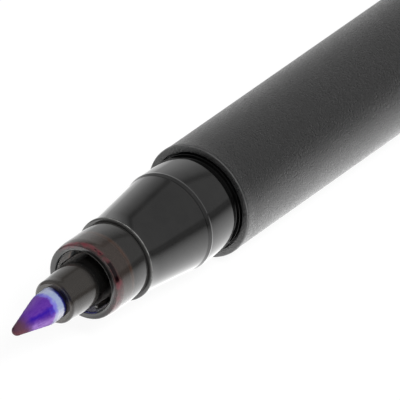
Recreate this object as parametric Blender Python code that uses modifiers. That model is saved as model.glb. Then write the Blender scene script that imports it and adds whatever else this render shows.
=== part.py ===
"""Fibre-tip resist marker, uncapped, with its cap posted on the tail.

The pen lies along X with its nib towards -X and its clip resting on the table.
The origin is on the pen's axis, at the cap's flat end. All sizes are in metres.
"""

import math

import bmesh
import bpy
from mathutils import Matrix, Vector

# Facets
ROUND_STEPS = 40                # sides of a turned piece
FILLET_STEPS = 3                # straight bits in a rounded corner
TIP_STEPS = 4                   # straight bits in the nib's round point

# Fits
PRESS_GAP = 0.00015             # round a piece that is pushed into its bore
SEAT_GAP = 0.0002               # between two faces that stop each other
SLIDE_GAP = 0.0003              # round the tail post, inside the cap's bore
RIB_ROOT = 0.0002               # how deep a rib is rooted in the wall that carries it

# Nib
NIB_RADIUS = 0.0015
NIB_LENGTH = 0.0430
NIB_REACH = 0.00611             # from the holder's front to the point
NIB_POINT_RADIUS = 0.00048
NIB_CONE_ANGLE = math.radians(13.4)
NIB_TAIL_CHAMFER = 0.0006
NIB_SOCKET_GAP = 0.0001         # round the nib, inside the reservoir

# Nib holder
TUBE_FRONT_RADIUS = 0.0021
TUBE_STRAIGHT = 0.0008          # from the tube's front to the start of its taper
TUBE_TAPER = math.radians(4.0)
TUBE_BORE_GAP = 0.00025         # between the nib and the tube's bore
TUBE_REACH = 0.00446            # from the cup's mouth to the tube's front
TUBE_FRONT_ROUND = 0.00016
CUP_RADIUS = 0.00374
CUP_WALL = 0.00066
CUP_LENGTH = 0.00463
CUP_DEPTH = 0.0027
CUP_LIP_HEIGHT = 0.00009        # how far the cup's swollen lip stands out
CUP_LIP_WIDTH = 0.0008          # from the cup's mouth to the thickest place
CUP_LIP_TAPER = 0.00013         # how far the lip draws in towards the mouth
CUP_LIP_RUN = 0.0010            # from the lip back down to the cup's wall
CUP_LIP_CURVE = 0.0024          # radius of the swelling, along the cup
CUP_LIP_ROUND = 0.00016
CUP_EDGE_ROUND = 0.00008        # rounding of the lip's inner edge
PLUG_RADIUS = 0.0029
PLUG_LENGTH = 0.0085
PLUG_WALL = 0.0008
PLUG_FRONT_WALL = 0.0015        # solid length between the cup's back and the plug's hollow
FIN_COUNT = 3
FIN_THICKNESS = 0.0003
FIN_HEIGHT = 0.0004             # from the cup's wall towards the tube
FIN_SETBACK = 0.0006            # from the cup's mouth to the fins
FIN_TURN = math.radians(-142.0)  # where the first fin stands, from straight down
GRIP_COUNT = 4
GRIP_WIDTH = 0.0005
GRIP_GAP = 0.0001               # between the nib and the ribs that grip it
GRIP_SETBACK = 0.0012           # from the tube's front to the grip ribs

# Front section, the cap's seat
NOSE_RIM_RADIUS = 0.00404
NOSE_RIM_WIDTH = 0.00025
NOSE_RIM_ROUND = 0.0001
SEAT_RADIUS = 0.00478
SEAT_LENGTH = 0.01162           # from the nose to the shoulder
SEAT_ROUND = 0.0001
CONE_FRONT_RADIUS = 0.00380
CONE_LENGTH = 0.0080            # from the nose to the foot of the bead
CONE_STEP = 0.00007             # how far the cone ends below the seat
BEAD_WIDTH = 0.00045
BEAD_HEIGHT = 0.00003
BEAD_RUN = 0.0001               # length of the slope up to the bead, and down from it
GROOVE_WIDTH = 0.00104          # dark groove between the shoulder and the barrel
GROOVE_DEPTH = 0.0005
INSERT_LENGTH = 0.0080          # behind the barrel's front
INSERT_CHAMFER = 0.0003
FLANGE_STEP = 0.0001            # how far the stop flange stands over the barrel's bore
FLANGE_THICKNESS = 0.0006
FLANGE_PROUD = 0.0001
FLANGE_GAP = 0.00018            # round the flange, in the barrel's counterbore

# Barrel
BARREL_RADIUS = 0.00544
BARREL_LENGTH = 0.0900
BARREL_WALL = 0.0009
BARREL_TAIL_ROUND = 0.0003
LIP_HEIGHT = 0.00008
LIP_WIDTH = 0.0003
LIP_RUN = 0.0008                # from the lip back down to the barrel's side
LIP_ROUND = 0.00012
AIR_RIB_COUNT = 4
AIR_RIB_WIDTH = 0.0006
AIR_RIB_MARGIN = 0.0040         # from the section's and the plug's ends to the ribs

# Ink reservoir
CORE_RADIUS = 0.0037
CORE_CHAMFER = 0.0003
FILM_THICKNESS = 0.00015

# Tail plug
TAIL_INSERT_LENGTH = 0.0080
TAIL_FLANGE_THICKNESS = 0.0012
TAIL_FLANGE_ROUND = 0.00025
TAIL_WALL = 0.0011
POST_LENGTH = 0.0105
POST_ROUND = 0.0007
POST_END_WALL = 0.0012

# Cap
CAP_WALL = 0.00055
CAP_GAP = 0.00015               # between the section's bead and the cap's bore
CAP_MOUTH_ROUND = 0.0002
SNAP_HEIGHT = 0.0001
SNAP_WIDTH = 0.0006
LINER_WALL = 0.0008
LINER_MOUTH_GAP = 0.0009        # from the section's nose to the liner, when capped
LINER_NIB_GAP = 0.0012          # from the nib's point to the liner's floor, when capped
LINER_FLOOR = 0.0010
LINER_ROUND = 0.0002
CROWN_STEM = 0.0080
CROWN_HEAD = 0.0022
CROWN_WALL = 0.0009
CROWN_FLOOR = 0.0025            # solid end of the crown
CROWN_ROUND = 0.0008
CLIP_LENGTH = 0.0290
CLIP_WIDTH = 0.0040
CLIP_THICKNESS = 0.0012
CLIP_GAP = 0.0014               # under the clip's arm
CLIP_ROOT = 0.0032
CLIP_SETBACK = 0.0008           # from the shell's end to the clip's root
CLIP_PAD_LENGTH = 0.0024
CLIP_PAD_GAP = 0.0004
CLIP_TIP_THICKNESS = 0.0009
CLIP_CORNER = 0.00025           # rounding of the clip's edges
CLIP_BEND = 0.0010              # rounding of the clip's outline

# Radii that follow from the fits
BORE = BARREL_RADIUS - BARREL_WALL
LIP_RADIUS = BARREL_RADIUS + LIP_HEIGHT
INSERT_RADIUS = BORE - PRESS_GAP
FLANGE_RADIUS = BORE + FLANGE_STEP
COUNTERBORE = FLANGE_RADIUS + FLANGE_GAP
SECTION_BORE = PLUG_RADIUS + PRESS_GAP
FILM_BORE = CORE_RADIUS + PRESS_GAP
FILM_RADIUS = FILM_BORE + FILM_THICKNESS
CAP_BORE = SEAT_RADIUS + BEAD_HEIGHT + CAP_GAP
CAP_RADIUS = CAP_BORE + CAP_WALL
POST_RADIUS = CAP_BORE - SLIDE_GAP
LINER_RADIUS = CAP_BORE - PRESS_GAP
CLIP_FACE = CAP_RADIUS + CLIP_GAP + CLIP_THICKNESS

# Lengths inside the cap, measured from its mouth as it sits on the capped pen
NOSE_AHEAD = GROOVE_WIDTH + SEAT_LENGTH
POINT_AHEAD = NOSE_AHEAD + SEAT_GAP + CUP_LENGTH + TUBE_REACH + NIB_REACH
LINER_MOUTH = NOSE_AHEAD + LINER_MOUTH_GAP
LINER_LENGTH = POINT_AHEAD + LINER_NIB_GAP + LINER_FLOOR - LINER_MOUTH
SHELL_LENGTH = LINER_MOUTH + LINER_LENGTH + CROWN_STEM
CAP_LENGTH = SHELL_LENGTH + SEAT_GAP + CROWN_HEAD

# Places along the pen, from the cap's flat end
CAP_MOUTH = -CAP_LENGTH
TAIL_FLANGE = CAP_MOUTH - SEAT_GAP - TAIL_FLANGE_THICKNESS
BARREL_TAIL = TAIL_FLANGE - SEAT_GAP
BARREL_FRONT = BARREL_TAIL - BARREL_LENGTH
SECTION_NOSE = BARREL_FRONT - NOSE_AHEAD
TUBE_FRONT = SECTION_NOSE - SEAT_GAP - CUP_LENGTH - TUBE_REACH
NIB_POINT = TUBE_FRONT - NIB_REACH
CORE_FRONT = BARREL_FRONT + INSERT_LENGTH + SEAT_GAP
CORE_BACK = TAIL_FLANGE - TAIL_INSERT_LENGTH - SEAT_GAP
CORE_LENGTH = CORE_BACK - CORE_FRONT


def remove_old_objects():
    """Empty the scene."""
    for old in list(bpy.data.objects):
        bpy.data.objects.remove(old, do_unlink=True)


def new_collection(name):
    """Add a collection to the scene."""
    collection = bpy.data.collections.new(name)
    bpy.context.scene.collection.children.link(collection)
    return collection


def new_empty(name, collection, parent=None, along=0.0):
    """Add a guide on the pen's axis."""
    empty = bpy.data.objects.new(name, None)
    empty.location.z = along
    empty.parent = parent
    collection.objects.link(empty)
    return empty


def plastic(name, colour, roughness, alpha=1.0):
    """Make a plain Principled material."""
    material = bpy.data.materials.new(name)
    material.use_nodes = True
    shader = material.node_tree.nodes["Principled BSDF"]
    shader.inputs["Base Color"].default_value = (*colour, 1.0)
    shader.inputs["Roughness"].default_value = roughness
    shader.inputs["Metallic"].default_value = 0.0
    shader.inputs["Alpha"].default_value = alpha
    return material


def round_corner(before, corner, after, radius):
    """Points of an arc that rounds one corner, no longer than its sides allow."""
    to_before = before - corner
    to_after = after - corner
    half_angle = to_before.angle(to_after) / 2
    reach = min(radius / math.tan(half_angle), to_before.length / 2, to_after.length / 2)
    radius = reach * math.tan(half_angle)
    to_before.normalize()
    to_after.normalize()
    centre = corner + (to_before + to_after).normalized() * radius / math.sin(half_angle)
    start = corner + to_before * reach - centre
    end = corner + to_after * reach - centre
    sweep = math.atan2(start.x * end.y - start.y * end.x, start.dot(end))
    points = []
    for step in range(FILLET_STEPS + 1):
        angle = sweep * step / FILLET_STEPS
        turned_x = start.x * math.cos(angle) - start.y * math.sin(angle)
        turned_y = start.x * math.sin(angle) + start.y * math.cos(angle)
        points.append(centre + Vector((turned_x, turned_y)))
    return points


def outline(*corners):
    """Closed outline from (along, radius) or (along, radius, rounding) corners."""
    count = len(corners)
    places = [Vector((corner[0], corner[1])) for corner in corners]
    points = []
    for index, corner in enumerate(corners):
        if len(corner) == 3:
            before = places[index - 1]
            after = places[(index + 1) % count]
            points += round_corner(before, places[index], after, corner[2])
        else:
            points.append(places[index])
    return points


def runs_the_right_way(points):
    """True where the outline's outer side runs from the tail to the nose."""
    area = 0.0
    for here, following in zip(points, points[1:] + points[:1]):
        area += here.x * following.y - following.x * here.y
    return area > 0


def turn(name, points, collection, parent, along):
    """Turn an outline about the pen's axis into a solid that starts at a place along the pen."""
    if not runs_the_right_way(points):
        points = points[::-1]
    profile = bmesh.new()
    corners = [profile.verts.new((point.y, 0.0, point.x)) for point in points]
    for here, following in zip(corners, corners[1:] + corners[:1]):
        if here.co.x > 0 or following.co.x > 0:
            profile.edges.new((here, following))
    mesh = bpy.data.meshes.new(name)
    profile.to_mesh(mesh)
    profile.free()
    piece = bpy.data.objects.new(name, mesh)
    piece.parent = parent
    piece.location.z = along
    collection.objects.link(piece)
    screw = piece.modifiers.new("Turn", 'SCREW')
    screw.axis = 'Z'
    screw.steps = ROUND_STEPS
    screw.render_steps = ROUND_STEPS
    screw.use_merge_vertices = True
    screw.merge_threshold = 0.000001
    return piece


def radial_ribs(name, collection, carrier, count, width, inner, outer, start, end, first_turn=0.0):
    """Flat ribs that stand round the axis, as one guide object on the piece that carries them."""
    ribs = bmesh.new()
    size = Matrix.Diagonal((outer - inner, width, end - start, 1.0))
    place = Matrix.Translation(((inner + outer) / 2, 0.0, (start + end) / 2))
    for number in range(count):
        spin = Matrix.Rotation(first_turn + 2 * math.pi * number / count, 4, 'Z')
        bmesh.ops.create_cube(ribs, size=1.0, matrix=spin @ place @ size)
    mesh = bpy.data.meshes.new(name)
    ribs.to_mesh(mesh)
    ribs.free()
    guide = bpy.data.objects.new(name, mesh)
    guide.parent = carrier.parent
    guide.location = carrier.location
    collection.objects.link(guide)
    hide_guide(guide)
    return guide


def hide_guide(guide):
    """Keep a guide out of the finished model."""
    guide.hide_render = True
    guide.display_type = 'WIRE'


def combine(piece, guide, operation):
    """Fuse a guide's shape to a piece, or cut it out of the piece."""
    boolean = piece.modifiers.new(operation.title() + " " + guide.name, 'BOOLEAN')
    boolean.operation = operation
    boolean.solver = 'EXACT'
    boolean.object = guide


def finish(piece, material):
    """Apply the modifiers, shade the round faces smooth and give the piece its material."""
    graph = bpy.context.evaluated_depsgraph_get()
    mesh = bpy.data.meshes.new_from_object(piece.evaluated_get(graph))
    piece.modifiers.clear()
    piece.data = mesh
    mesh.name = piece.name
    mesh.shade_smooth()
    mesh.set_sharp_from_angle(angle=math.radians(30))
    mesh.materials.clear()
    mesh.materials.append(material)
    return piece


def build_nib(parts, axis):
    """Fibre rod with a ground cone and a round point."""
    point_end = math.pi / 2 - NIB_CONE_ANGLE
    points = []
    for step in range(TIP_STEPS + 1):
        angle = point_end * step / TIP_STEPS
        along = NIB_POINT_RADIUS * (1 - math.cos(angle))
        points.append(Vector((along, NIB_POINT_RADIUS * math.sin(angle))))
    cone_end = points[-1].x + (NIB_RADIUS - points[-1].y) / math.tan(NIB_CONE_ANGLE)
    points += outline(
        (cone_end, NIB_RADIUS),
        (NIB_LENGTH - NIB_TAIL_CHAMFER, NIB_RADIUS),
        (NIB_LENGTH, NIB_RADIUS - NIB_TAIL_CHAMFER),
        (NIB_LENGTH, 0.0),
    )
    nib = turn("nib", points, parts, axis, NIB_POINT)
    return finish(nib, plastic("stained fibre", (0.12, 0.03, 0.36), 0.75))


def build_nib_holder(parts, guides, axis):
    """Smoked moulding: tube round the nib, cup round the tube, fins in the cup, plug behind."""
    bore = NIB_RADIUS + TUBE_BORE_GAP
    mouth = TUBE_REACH
    floor = mouth + CUP_DEPTH
    back = mouth + CUP_LENGTH
    end = back + PLUG_LENGTH
    hollow = back + PLUG_FRONT_WALL
    root_radius = TUBE_FRONT_RADIUS + (mouth - TUBE_STRAIGHT) * math.tan(TUBE_TAPER)
    cup_bore = CUP_RADIUS - CUP_WALL
    lip_radius = CUP_RADIUS + CUP_LIP_HEIGHT
    lip_end = mouth + CUP_LIP_WIDTH
    points = outline(
        (0.0, bore),
        (0.0, TUBE_FRONT_RADIUS, TUBE_FRONT_ROUND),
        (TUBE_STRAIGHT, TUBE_FRONT_RADIUS),
        (mouth, root_radius),
        (floor, root_radius),
        (floor, cup_bore),
        (mouth, cup_bore, CUP_EDGE_ROUND),
        (mouth, lip_radius - CUP_LIP_TAPER, CUP_LIP_ROUND),
        (lip_end, lip_radius, CUP_LIP_CURVE),
        (lip_end + CUP_LIP_RUN, CUP_RADIUS),
        (back, CUP_RADIUS),
        (back, PLUG_RADIUS),
        (end, PLUG_RADIUS),
        (end, PLUG_RADIUS - PLUG_WALL),
        (hollow, PLUG_RADIUS - PLUG_WALL),
        (hollow, bore),
    )
    holder = turn("nib_holder", points, parts, axis, TUBE_FRONT)
    fins = radial_ribs(
        "cup fins", guides, holder, FIN_COUNT, FIN_THICKNESS,
        cup_bore - FIN_HEIGHT, cup_bore + RIB_ROOT, mouth + FIN_SETBACK, floor + RIB_ROOT, FIN_TURN,
    )
    grips = radial_ribs(
        "nib grips", guides, holder, GRIP_COUNT, GRIP_WIDTH,
        NIB_RADIUS + GRIP_GAP, bore + RIB_ROOT, GRIP_SETBACK, hollow,
    )
    combine(holder, fins, 'UNION')
    combine(holder, grips, 'UNION')
    return finish(holder, plastic("smoked clear", (0.045, 0.038, 0.034), 0.12, 0.85))


def build_front_section(parts, axis):
    """Gloss cap seat: nose rim, cone, snap bead and shoulder, with the insert that holds it in the barrel."""
    cone_end = CONE_LENGTH
    bead_start = cone_end + BEAD_RUN
    bead_end = bead_start + BEAD_WIDTH
    bead_radius = SEAT_RADIUS + BEAD_HEIGHT
    barrel_front = SEAT_LENGTH + GROOVE_WIDTH
    flange_start = barrel_front - FLANGE_PROUD
    flange_end = flange_start + FLANGE_THICKNESS
    insert_end = barrel_front + INSERT_LENGTH
    neck_radius = SEAT_RADIUS - GROOVE_DEPTH
    points = outline(
        (0.0, SECTION_BORE),
        (0.0, NOSE_RIM_RADIUS, NOSE_RIM_ROUND),
        (NOSE_RIM_WIDTH, NOSE_RIM_RADIUS, NOSE_RIM_ROUND),
        (NOSE_RIM_WIDTH, CONE_FRONT_RADIUS),
        (cone_end, SEAT_RADIUS - CONE_STEP),
        (bead_start, bead_radius, BEAD_WIDTH / 2),
        (bead_end, bead_radius, BEAD_WIDTH / 2),
        (bead_end + BEAD_RUN, SEAT_RADIUS),
        (SEAT_LENGTH, SEAT_RADIUS, SEAT_ROUND),
        (SEAT_LENGTH, neck_radius),
        (flange_start, neck_radius),
        (flange_start, FLANGE_RADIUS, FLANGE_PROUD),
        (flange_end, FLANGE_RADIUS),
        (flange_end, INSERT_RADIUS),
        (insert_end - INSERT_CHAMFER, INSERT_RADIUS),
        (insert_end, INSERT_RADIUS - INSERT_CHAMFER),
        (insert_end, SECTION_BORE),
    )
    section = turn("front_section", points, parts, axis, SECTION_NOSE)
    return finish(section, plastic("gloss black", (0.02, 0.02, 0.02), 0.15))


def build_barrel(parts, guides, axis):
    """Matt tube with a low front lip, a counterbore for the section and air ribs inside."""
    counterbore_depth = FLANGE_THICKNESS - FLANGE_PROUD + SEAT_GAP
    points = outline(
        (0.0, COUNTERBORE),
        (0.0, LIP_RADIUS, LIP_ROUND),
        (LIP_WIDTH, LIP_RADIUS),
        (LIP_WIDTH + LIP_RUN, BARREL_RADIUS),
        (BARREL_LENGTH, BARREL_RADIUS, BARREL_TAIL_ROUND),
        (BARREL_LENGTH, BORE),
        (counterbore_depth, BORE),
        (counterbore_depth, COUNTERBORE),
    )
    barrel = turn("barrel", points, parts, axis, BARREL_FRONT)
    ribs = radial_ribs(
        "air ribs", guides, barrel, AIR_RIB_COUNT, AIR_RIB_WIDTH,
        FILM_RADIUS + PRESS_GAP, BORE + RIB_ROOT,
        INSERT_LENGTH + AIR_RIB_MARGIN,
        BARREL_LENGTH - TAIL_INSERT_LENGTH - AIR_RIB_MARGIN,
    )
    combine(barrel, ribs, 'UNION')
    return finish(barrel, plastic("matt black", (0.03, 0.03, 0.03), 0.55))


def build_ink_reservoir(parts, axis):
    """Fibre core with the socket that the nib presses into it."""
    socket_radius = NIB_RADIUS + NIB_SOCKET_GAP
    socket_end = NIB_POINT + NIB_LENGTH + SEAT_GAP - CORE_FRONT
    points = outline(
        (0.0, socket_radius),
        (0.0, CORE_RADIUS - CORE_CHAMFER),
        (CORE_CHAMFER, CORE_RADIUS),
        (CORE_LENGTH - CORE_CHAMFER, CORE_RADIUS),
        (CORE_LENGTH, CORE_RADIUS - CORE_CHAMFER),
        (CORE_LENGTH, 0.0),
        (socket_end, 0.0),
        (socket_end, socket_radius),
    )
    core = turn("ink_reservoir", points, parts, axis, CORE_FRONT)
    return finish(core, plastic("inked fibre", (0.10, 0.02, 0.30), 0.9))


def build_reservoir_film(parts, axis):
    """Film sleeve round the fibre core."""
    points = outline(
        (0.0, FILM_BORE),
        (0.0, FILM_RADIUS),
        (CORE_LENGTH, FILM_RADIUS),
        (CORE_LENGTH, FILM_BORE),
    )
    film = turn("reservoir_film", points, parts, axis, CORE_FRONT)
    return finish(film, plastic("clear film", (0.75, 0.75, 0.78), 0.25, 0.5))


def build_tail_plug(parts, axis):
    """Plug that closes the barrel, with a flange and a hollow post for the cap."""
    flange_end = TAIL_INSERT_LENGTH + TAIL_FLANGE_THICKNESS
    end = flange_end + POST_LENGTH
    hollow_radius = INSERT_RADIUS - TAIL_WALL
    points = outline(
        (0.0, hollow_radius),
        (0.0, INSERT_RADIUS - INSERT_CHAMFER),
        (INSERT_CHAMFER, INSERT_RADIUS),
        (TAIL_INSERT_LENGTH, INSERT_RADIUS),
        (TAIL_INSERT_LENGTH, BARREL_RADIUS, TAIL_FLANGE_ROUND),
        (flange_end, BARREL_RADIUS, TAIL_FLANGE_ROUND),
        (flange_end, POST_RADIUS),
        (end, POST_RADIUS, POST_ROUND),
        (end, 0.0),
        (end - POST_END_WALL, 0.0),
        (end - POST_END_WALL, hollow_radius),
    )
    plug = turn("tail_plug", points, parts, axis, TAIL_FLANGE - TAIL_INSERT_LENGTH)
    return finish(plug, plastic("plug black", (0.025, 0.025, 0.025), 0.3))


def clip_lean():
    """Angle of the clip below the horizontal at which its lower edge touches the table."""
    face = CLIP_FACE - CLIP_CORNER
    side = CLIP_WIDTH / 2 - CLIP_CORNER
    table = max(LIP_RADIUS, CAP_RADIUS) - CLIP_CORNER
    return math.asin(table / math.hypot(face, side)) - math.atan2(side, face)


def build_clip(guides, shell):
    """The clip's side outline, extruded to its width and leaned over to rest on the table."""
    back = SHELL_LENGTH - CLIP_SETBACK
    front = back - CLIP_LENGTH
    under = CAP_RADIUS + CLIP_GAP
    pad = CAP_RADIUS + CLIP_PAD_GAP
    foot = CAP_BORE / 2
    points = outline(
        (back, foot),
        (back, CLIP_FACE, CLIP_BEND),
        (front, CLIP_FACE, CLIP_TIP_THICKNESS / 2),
        (front, CLIP_FACE - CLIP_TIP_THICKNESS, CLIP_TIP_THICKNESS / 2),
        (front + CLIP_PAD_LENGTH / 2, pad, CLIP_BEND),
        (front + CLIP_PAD_LENGTH, under, CLIP_BEND),
        (back - CLIP_ROOT, under, CLIP_BEND),
        (back - CLIP_ROOT, foot),
    )
    curve = bpy.data.curves.new("clip outline", 'CURVE')
    curve.dimensions = '2D'
    curve.fill_mode = 'BOTH'
    curve.extrude = CLIP_WIDTH / 2 - CLIP_CORNER
    curve.bevel_depth = CLIP_CORNER
    curve.bevel_resolution = 1
    curve.offset = -CLIP_CORNER
    spline = curve.splines.new('POLY')
    spline.points.add(len(points) - 1)
    spline.use_cyclic_u = True
    for spline_point, point in zip(spline.points, points):
        spline_point.co = (point.y, point.x, 0.0, 1.0)
    drawn = bpy.data.objects.new("clip outline", curve)
    guides.objects.link(drawn)
    graph = bpy.context.evaluated_depsgraph_get()
    mesh = bpy.data.meshes.new_from_object(drawn.evaluated_get(graph))
    bpy.data.objects.remove(drawn, do_unlink=True)
    solid = bmesh.new()
    solid.from_mesh(mesh)
    bmesh.ops.remove_doubles(solid, verts=solid.verts, dist=0.000001)
    upright = Matrix.Rotation(math.pi / 2, 4, 'X')
    lean = Matrix.Rotation(math.pi / 2 - clip_lean(), 4, 'Z')
    bmesh.ops.transform(solid, matrix=lean @ upright, verts=solid.verts)
    solid.to_mesh(mesh)
    solid.free()
    clip = bpy.data.objects.new("clip", mesh)
    clip.parent = shell.parent
    clip.location = shell.location
    guides.objects.link(clip)
    hide_guide(clip)
    return clip


def build_cap_shell(parts, guides, cap):
    """Cap tube with its moulded clip outside and a snap ridge inside its mouth."""
    snap = NOSE_AHEAD - CONE_LENGTH
    shell = turn("cap_shell", outline(
        (0.0, 0.0),
        (0.0, CAP_RADIUS, CAP_MOUTH_ROUND),
        (SHELL_LENGTH, CAP_RADIUS),
        (SHELL_LENGTH, 0.0),
    ), parts, cap, 0.0)
    bore = turn("cap bore", outline(
        (-CAP_WALL, 0.0),
        (-CAP_WALL, CAP_BORE + CAP_MOUTH_ROUND + CAP_WALL),
        (CAP_MOUTH_ROUND, CAP_BORE),
        (snap, CAP_BORE),
        (snap + SNAP_WIDTH / 2, CAP_BORE - SNAP_HEIGHT),
        (snap + SNAP_WIDTH, CAP_BORE),
        (SHELL_LENGTH + CAP_WALL, CAP_BORE),
        (SHELL_LENGTH + CAP_WALL, 0.0),
    ), guides, cap, 0.0)
    hide_guide(bore)
    combine(shell, build_clip(guides, shell), 'UNION')
    combine(shell, bore, 'DIFFERENCE')
    return finish(shell, plastic("cap black", (0.03, 0.03, 0.03), 0.5))


def build_cap_liner(parts, cap):
    """Inner cup that seals round the nib holder when the pen is capped."""
    bore = LINER_RADIUS - LINER_WALL
    floor = LINER_LENGTH - LINER_FLOOR
    points = outline(
        (0.0, bore, LINER_ROUND),
        (0.0, LINER_RADIUS, LINER_ROUND),
        (LINER_LENGTH, LINER_RADIUS),
        (LINER_LENGTH, 0.0),
        (floor, 0.0),
        (floor, bore),
    )
    liner = turn("cap_liner", points, parts, cap, LINER_MOUTH)
    return finish(liner, plastic("natural liner", (0.72, 0.72, 0.70), 0.4))


def build_cap_crown(parts, cap):
    """Plug with a rounded head that closes the cap."""
    radius = CAP_BORE - PRESS_GAP
    hollow_radius = radius - CROWN_WALL
    end = CROWN_STEM + CROWN_HEAD
    points = outline(
        (0.0, hollow_radius),
        (0.0, radius - INSERT_CHAMFER),
        (INSERT_CHAMFER, radius),
        (CROWN_STEM, radius),
        (CROWN_STEM, CAP_RADIUS),
        (end, CAP_RADIUS, CROWN_ROUND),
        (end, 0.0),
        (end - CROWN_FLOOR, 0.0),
        (end - CROWN_FLOOR, hollow_radius),
    )
    crown = turn("cap_crown", points, parts, cap, CAP_LENGTH - end)
    return finish(crown, plastic("crown black", (0.025, 0.025, 0.025), 0.35))


def main():
    """Build the whole pen."""
    remove_old_objects()
    parts = new_collection("etch_resist_pen")
    guides = new_collection("cutters")
    axis = new_empty("pen_axis", guides)
    axis.rotation_euler.y = math.pi / 2
    cap = new_empty("cap_slide", guides, axis, CAP_MOUTH)
    bpy.context.view_layer.update()
    build_nib(parts, axis)
    build_nib_holder(parts, guides, axis)
    build_front_section(parts, axis)
    build_barrel(parts, guides, axis)
    build_ink_reservoir(parts, axis)
    build_reservoir_film(parts, axis)
    build_tail_plug(parts, axis)
    build_cap_shell(parts, guides, cap)
    build_cap_liner(parts, cap)
    build_cap_crown(parts, cap)


main()
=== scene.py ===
"""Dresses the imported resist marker: fine surfaces and finishes, a white stage, soft light and the camera.

The pen lies along X with its nib towards -X. Its pieces are turned about X, and all sizes are in metres.
"""

import math
from collections import namedtuple
from functools import cached_property

import bmesh
import bpy
from mathutils import Matrix, Vector, noise


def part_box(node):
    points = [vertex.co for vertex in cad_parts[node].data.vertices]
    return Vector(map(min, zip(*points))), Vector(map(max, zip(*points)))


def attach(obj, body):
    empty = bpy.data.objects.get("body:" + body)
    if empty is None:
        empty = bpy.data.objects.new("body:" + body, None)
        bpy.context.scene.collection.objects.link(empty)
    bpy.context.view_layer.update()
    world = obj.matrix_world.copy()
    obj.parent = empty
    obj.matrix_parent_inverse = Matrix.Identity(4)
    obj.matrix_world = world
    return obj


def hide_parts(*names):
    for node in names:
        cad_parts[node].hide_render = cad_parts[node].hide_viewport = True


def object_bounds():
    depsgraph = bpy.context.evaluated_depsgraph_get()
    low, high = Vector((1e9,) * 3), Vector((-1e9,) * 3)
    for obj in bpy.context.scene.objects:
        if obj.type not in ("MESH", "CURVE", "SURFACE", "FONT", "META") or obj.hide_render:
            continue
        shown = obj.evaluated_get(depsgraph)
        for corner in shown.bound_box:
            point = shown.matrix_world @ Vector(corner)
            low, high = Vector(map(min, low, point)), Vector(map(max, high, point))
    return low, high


bl_info = {
    "name": "Resist Marker",
    "version": (1, 0, 0),
    "blender": (4, 5, 0),
    "location": "3D View > Sidebar > Marker",
    "description": "Builds the surfaces, finishes and stage of a fibre-tip resist marker",
    "category": "Object",
}

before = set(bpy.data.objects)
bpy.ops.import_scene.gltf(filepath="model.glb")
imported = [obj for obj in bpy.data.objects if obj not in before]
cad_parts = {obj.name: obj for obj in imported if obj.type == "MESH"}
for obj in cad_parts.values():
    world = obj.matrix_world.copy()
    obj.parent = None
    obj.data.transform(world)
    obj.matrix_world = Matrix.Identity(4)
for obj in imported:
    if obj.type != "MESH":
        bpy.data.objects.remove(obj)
CAD_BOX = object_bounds()

ROUND_STEPS = 192               # sides of a turned piece
CORNER_STEPS = 6                # straight bits in a rounded corner
MERGE = 1e-7                    # distance under which two points are one
SHARP = math.radians(32)        # angle past which an edge is shaded sharp
BLACK = (0.0, 0.0, 0.0)

# Roundings of the corners in the outlines
CRISP = 0.00002
FINE = 0.00005
BROKEN = 0.0001
SOFT = 0.0002
FILLET = 0.0003

# Directions across the pen, as the marks on it are placed
LOW_SIDE = Vector((0.0, -1.0, -1.0)).normalized()
NEAR_SIDE = Vector((0.0, -1.0, 1.0)).normalized()


def length(name, description, default):
    """A size in metres."""
    return bpy.props.FloatProperty(
        name=name, description=description, default=default, min=0.0, precision=6,
        unit='LENGTH', subtype='DISTANCE')


def angle(name, description, degrees):
    """An angle, given in degrees."""
    return bpy.props.FloatProperty(
        name=name, description=description, default=math.radians(degrees), unit='ROTATION', subtype='ANGLE')


def number(name, description, default):
    """A count."""
    return bpy.props.IntProperty(name=name, description=description, default=default, min=1)


def colour(name, description, default):
    """A linear colour."""
    return bpy.props.FloatVectorProperty(
        name=name, description=description, default=default, size=3, min=0.0, max=1.0, subtype='COLOR')


def level(name, description, default):
    """A plain amount, such as a strength."""
    return bpy.props.FloatProperty(name=name, description=description, default=default, min=0.0)


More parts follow.
